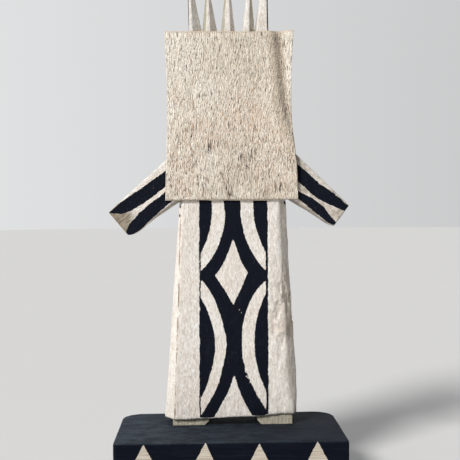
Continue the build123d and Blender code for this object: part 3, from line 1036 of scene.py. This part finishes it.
# Where the coat turns tan, and where dark hairs gather: x, z, radius.
TAN_PATCHES = (
    (11, 257, 14),
    (-24, 244, 13),
    (35, 235, 12),
    (-31, 224, 11),
    (-36, 268, 6),
    (-4, 240, 9),
    (20, 246, 10),
    (-32, 205, 11),
    (38, 206, 11),
    (22, 216, 8),
)
DARK_TUFTS = (
    (10, 225, 2.4),
    (10.5, 217, 2.8),
    (-3, 215, 2.4),
    (0, 204, 3.2),
    (2, 198, 3.6),
    (-12, 233, 2.2),
    (18, 230, 2.4),
    (36, 207, 2.6),
    (-17, 206, 2.4),
    (-24, 222, 1.8),
    (26, 203, 2.0),
)


def gathered(x, z, places, stretch=1.0):
    """From 0 to 1, how near a point is to any of the places."""
    near = [np.exp(-(((x - px) / r) ** 2) - ((z - pz) / (stretch * r)) ** 2) for px, pz, r in places]
    return np.clip(sum(near), 0, 1)


def hair_tints(random, root):
    """Which of the tints each lock has, with painted light and shade across the coat."""
    x, z = root[:, 0], root[:, 2]
    count = len(root)
    shade = 1.42 + 0.70 * noise(root, (1.0, 2, 5), 131) + random.normal(0, 0.60, count)
    # Paler towards the left, where the light comes from: painted light.
    shade += 1.15 * smoothstep(-38, 10, x) + 0.5 * noise(root, (14, 3, 18), 137)
    shade += 0.35 * smoothstep(230, 205, z)
    # Darker along the crease, as painted shade, and paler on the flange beyond it, which faces the
    # light, as painted light.
    crease = curve(HIDE_VALLEY)(z)
    shade += 1.7 * smoothstep(7.5, 3, abs(x - crease + 3.5)) * smoothstep(212, 240, z)
    shade -= 0.9 * smoothstep(crease + 1, crease + 3, x)
    index = np.clip(np.round(shade), 0, FIRST_TAN - 1).astype(int)
    tan = gathered(x, z, TAN_PATCHES) * (0.8 + 0.3 * noise(root, (3, 3, 7), 133))
    is_tan = random.uniform(0, 1, count) < 0.05 + 0.72 * tan
    index[is_tan] = FIRST_TAN + np.clip(random.poisson(0.55, is_tan.sum()), 0, 2)
    tufts = gathered(x, z, DARK_TUFTS, 1.7)
    lower = smoothstep(275, 215, z)
    streak = smoothstep(0.15, 0.75, noise(root, (1.5, 2, 5), 135))
    chance = (0.015 + 0.030 * lower) * (0.4 + 3.0 * streak) + 0.60 * tufts * (0.35 + streak)
    is_dark = random.uniform(0, 1, count) < chance
    index[is_dark] = FIRST_DARK + (random.uniform(0, 1, is_dark.sum()) < 0.45)
    return index


def make_hair():
    random = np.random.default_rng(7)
    width, drop = HIDE_HIGH[0] - HIDE_LOW[0], HIDE_HIGH[2] - HIDE_LOW[2]
    columns, rows = round(width / 0.62), round(drop / 1.10)
    u, v = np.meshgrid(np.arange(columns), np.arange(rows))
    u = (u.ravel() + random.uniform(0, 1, u.size)) / columns
    v = (v.ravel() + random.uniform(0, 1, v.size)) / rows
    count = len(u)
    z = np.minimum(HIDE_LOW[2] + 1.0 + v * (drop + 0.6), HIDE_HIGH[2] - 0.05)
    left, right = hide_outline(z)
    x = left + 0.2 + u * (right - left - 0.4)
    root = np.stack([x, 0 * x, z], axis=1)

    length = random.uniform(4.0, 6.8, count) * (1 + 0.2 * noise(root, 12, 111))
    length = np.clip(z - HIDE_LOW[2] - 0.3, 0.5, length)
    lean = 0.13 * noise(root, (3.0, 3, 8), 113) + 0.08 * noise(root, (14, 3, 20), 114)
    lean += random.normal(0, 0.045, count)
    half = random.uniform(0.22, 0.40, count)
    tints = hair_tints(random, root)
    half = np.where(tints >= FIRST_DARK, 0.72 * half, half)
    coat = 0.36 + 0.15 * noise(root, (1.3, 2, 5.0), 115)
    height = np.clip(coat + random.uniform(-0.13, 0.15, count), 0.06, 0.9)

    def along(share, sideways=0.0, high=0.0):
        """A point on every lock: how far down it, to which side, and how high off the skin."""
        run = length * share
        px = x + run * np.sin(lean) + sideways * half
        pz = z - run * np.cos(lean)
        edge_left, edge_right = hide_outline(pz)
        px = np.clip(px, edge_left + 0.03, edge_right - 0.03)
        return np.stack([px, hide_near_y(px, pz) - high, pz], axis=1)

    stations = [
        along(0.0, 0, -0.10),
        along(0.22, -0.9, 0.85 * height - 0.07),
        along(0.22, 0.9, 0.85 * height - 0.07),
        along(0.22, 0, 0.85 * height + 0.06),
        along(0.66, -0.8, 0.95 * height - 0.07),
        along(0.66, 0.8, 0.95 * height - 0.07),
        along(0.66, 0, 0.95 * height + 0.06),
        along(1.0, 0, 0.45 * height),
    ]
    vertices = np.stack(stations, axis=1).reshape(-1, 3)
    root_end = [(0, 1, 3), (0, 3, 2), (0, 2, 1)]
    middle = [(1, 4, 6), (1, 6, 3), (3, 6, 5), (3, 5, 2), (2, 5, 4), (2, 4, 1)]
    tip_end = [(7, 6, 4), (7, 5, 6), (7, 4, 5)]
    lock = np.array(root_end + middle + tip_end)
    faces = (8 * np.arange(count)[:, None, None] + lock).reshape(-1, 3)
    mesh = bpy.data.meshes.new("hide_hair")
    mesh.from_pydata((vertices * MM).tolist(), [], faces.tolist())
    mesh.shade_smooth()
    hair = new_object("hide_hair", mesh, hair_finish(0))
    for index in range(1, len(HAIR_TINTS)):
        mesh.materials.append(hair_finish(index))
    # The part of each pale lock next to its root is one tint darker: painted shade under the locks that
    # hang over it.
    shaded_root_tints = np.where(tints < FIRST_TAN - 1, tints + 1, tints)
    per_face = np.stack([shaded_root_tints] * 3 + [tints] * 9, axis=1).ravel()
    mesh.polygons.foreach_set("material_index", per_face.astype(np.int32))
    return hair


# ------------ stage


# A little left of the middle, about as high as the hide's lower edge. The turns are in degrees.
CAMERA_PLACE = (-15.5, -562.7, 187.4)
CAMERA_YAW, CAMERA_PITCH, CAMERA_ROLL = 1.7, 1.4, -0.4


def make_camera():
    yaw, pitch, roll = (math.radians(angle) for angle in (CAMERA_YAW, CAMERA_PITCH, CAMERA_ROLL))
    ahead = Vector((math.sin(yaw) * math.cos(pitch), math.cos(yaw) * math.cos(pitch), -math.sin(pitch)))
    level = Vector((math.cos(yaw), -math.sin(yaw), 0))
    upright = level.cross(ahead)
    right = level * math.cos(roll) + upright * math.sin(roll)
    top = right.cross(ahead)
    data = bpy.data.cameras.new("camera")
    data.sensor_width = 36.0
    data.lens = 64.2
    camera = bpy.data.objects.new("camera", data)
    turn = Matrix((right, top, -ahead)).transposed().to_4x4()
    camera.matrix_world = Matrix.Translation(Vector(CAMERA_PLACE) * MM) @ turn
    bpy.context.scene.collection.objects.link(camera)
    bpy.context.scene.camera = camera


TO_LIGHT = Vector((-0.537, -0.576, 0.616))
SUN_POWER = 3.4
FLOOR_SHADE = 0.62
# Brightness of the room and of the backdrop in the middle, and how both change with direction.
ROOM_LIGHT, BACKDROP_LIGHT = 0.45, 0.69
PER_RIGHT, PER_AWAY = -0.28, 0.24


def make_sun():
    data = bpy.data.lights.new("key", "SUN")
    data.energy = SUN_POWER
    data.angle = math.radians(16)
    data.color = (1.0, 0.985, 0.96)
    light = bpy.data.objects.new("key", data)
    light.rotation_euler = TO_LIGHT.to_track_quat("Z", "Y").to_euler()
    bpy.context.scene.collection.objects.link(light)


def make_world():
    """Soft room light, dimmer in front and at the right, and a pale backdrop, darker at the right."""
    world = bpy.data.worlds.new("studio")
    world.use_nodes = True
    nodes = Nodes(world.node_tree)
    split = nodes.tree.nodes.new("ShaderNodeSeparateXYZ")
    nodes.put(split.inputs[0], nodes.tree.nodes.new("ShaderNodeTexCoord").outputs["Generated"])
    across, away = split.outputs[0], split.outputs[1]
    room = nodes.maths("MULTIPLY_ADD", across, PER_RIGHT, ROOM_LIGHT)
    room = nodes.maths("MULTIPLY_ADD", away, PER_AWAY, room)
    backdrop = nodes.maths("MULTIPLY_ADD", across, PER_RIGHT, BACKDROP_LIGHT)
    choose = nodes.tree.nodes.new("ShaderNodeMix")
    seen = nodes.tree.nodes.new("ShaderNodeLightPath").outputs["Is Camera Ray"]
    nodes.put(choose.inputs[0], seen)
    nodes.put(choose.inputs[2], room)
    nodes.put(choose.inputs[3], backdrop)
    background = nodes.tree.nodes["Background"]
    nodes.put(background.inputs[0], (0.985, 0.99, 1.0))
    nodes.put(background.inputs[1], choose.outputs[0])
    bpy.context.scene.world = world


def make_stage():
    shape = bmesh.new()
    bmesh.ops.create_circle(shape, cap_ends=True, segments=96, radius=8.0)
    mesh = bpy.data.meshes.new("floor")
    shape.to_mesh(mesh)
    shape.free()
    floor = bpy.data.objects.new("floor", mesh)
    bpy.context.scene.collection.objects.link(floor)
    s = Shader("pale_floor")
    cloud = s.noise((400, 400, 400), 3)
    light, dark = (FLOOR_SHADE,) * 3, (FLOOR_SHADE * 0.97,) * 3
    mesh.materials.append(s.finish(s.mix(cloud, dark, light), 0.95, None, Specular_IOR_Level=0.1))
    make_world()
    make_sun()
    bpy.context.scene.view_settings.view_transform = "Standard"


make_camera()
make_stage()
make_base()
for leg_node in ("leg_left", "leg_right"):
    make_leg(leg_node)
make_robe()
make_head()
joints = {joint["child"]: joint for joint in frame["joints"]}
make_arm("arm_left", "left_arm", joints["left_arm"], 0.95)
make_arm("arm_right", "right_arm", joints["right_arm"], 0.30)
make_fasteners()
make_hide()
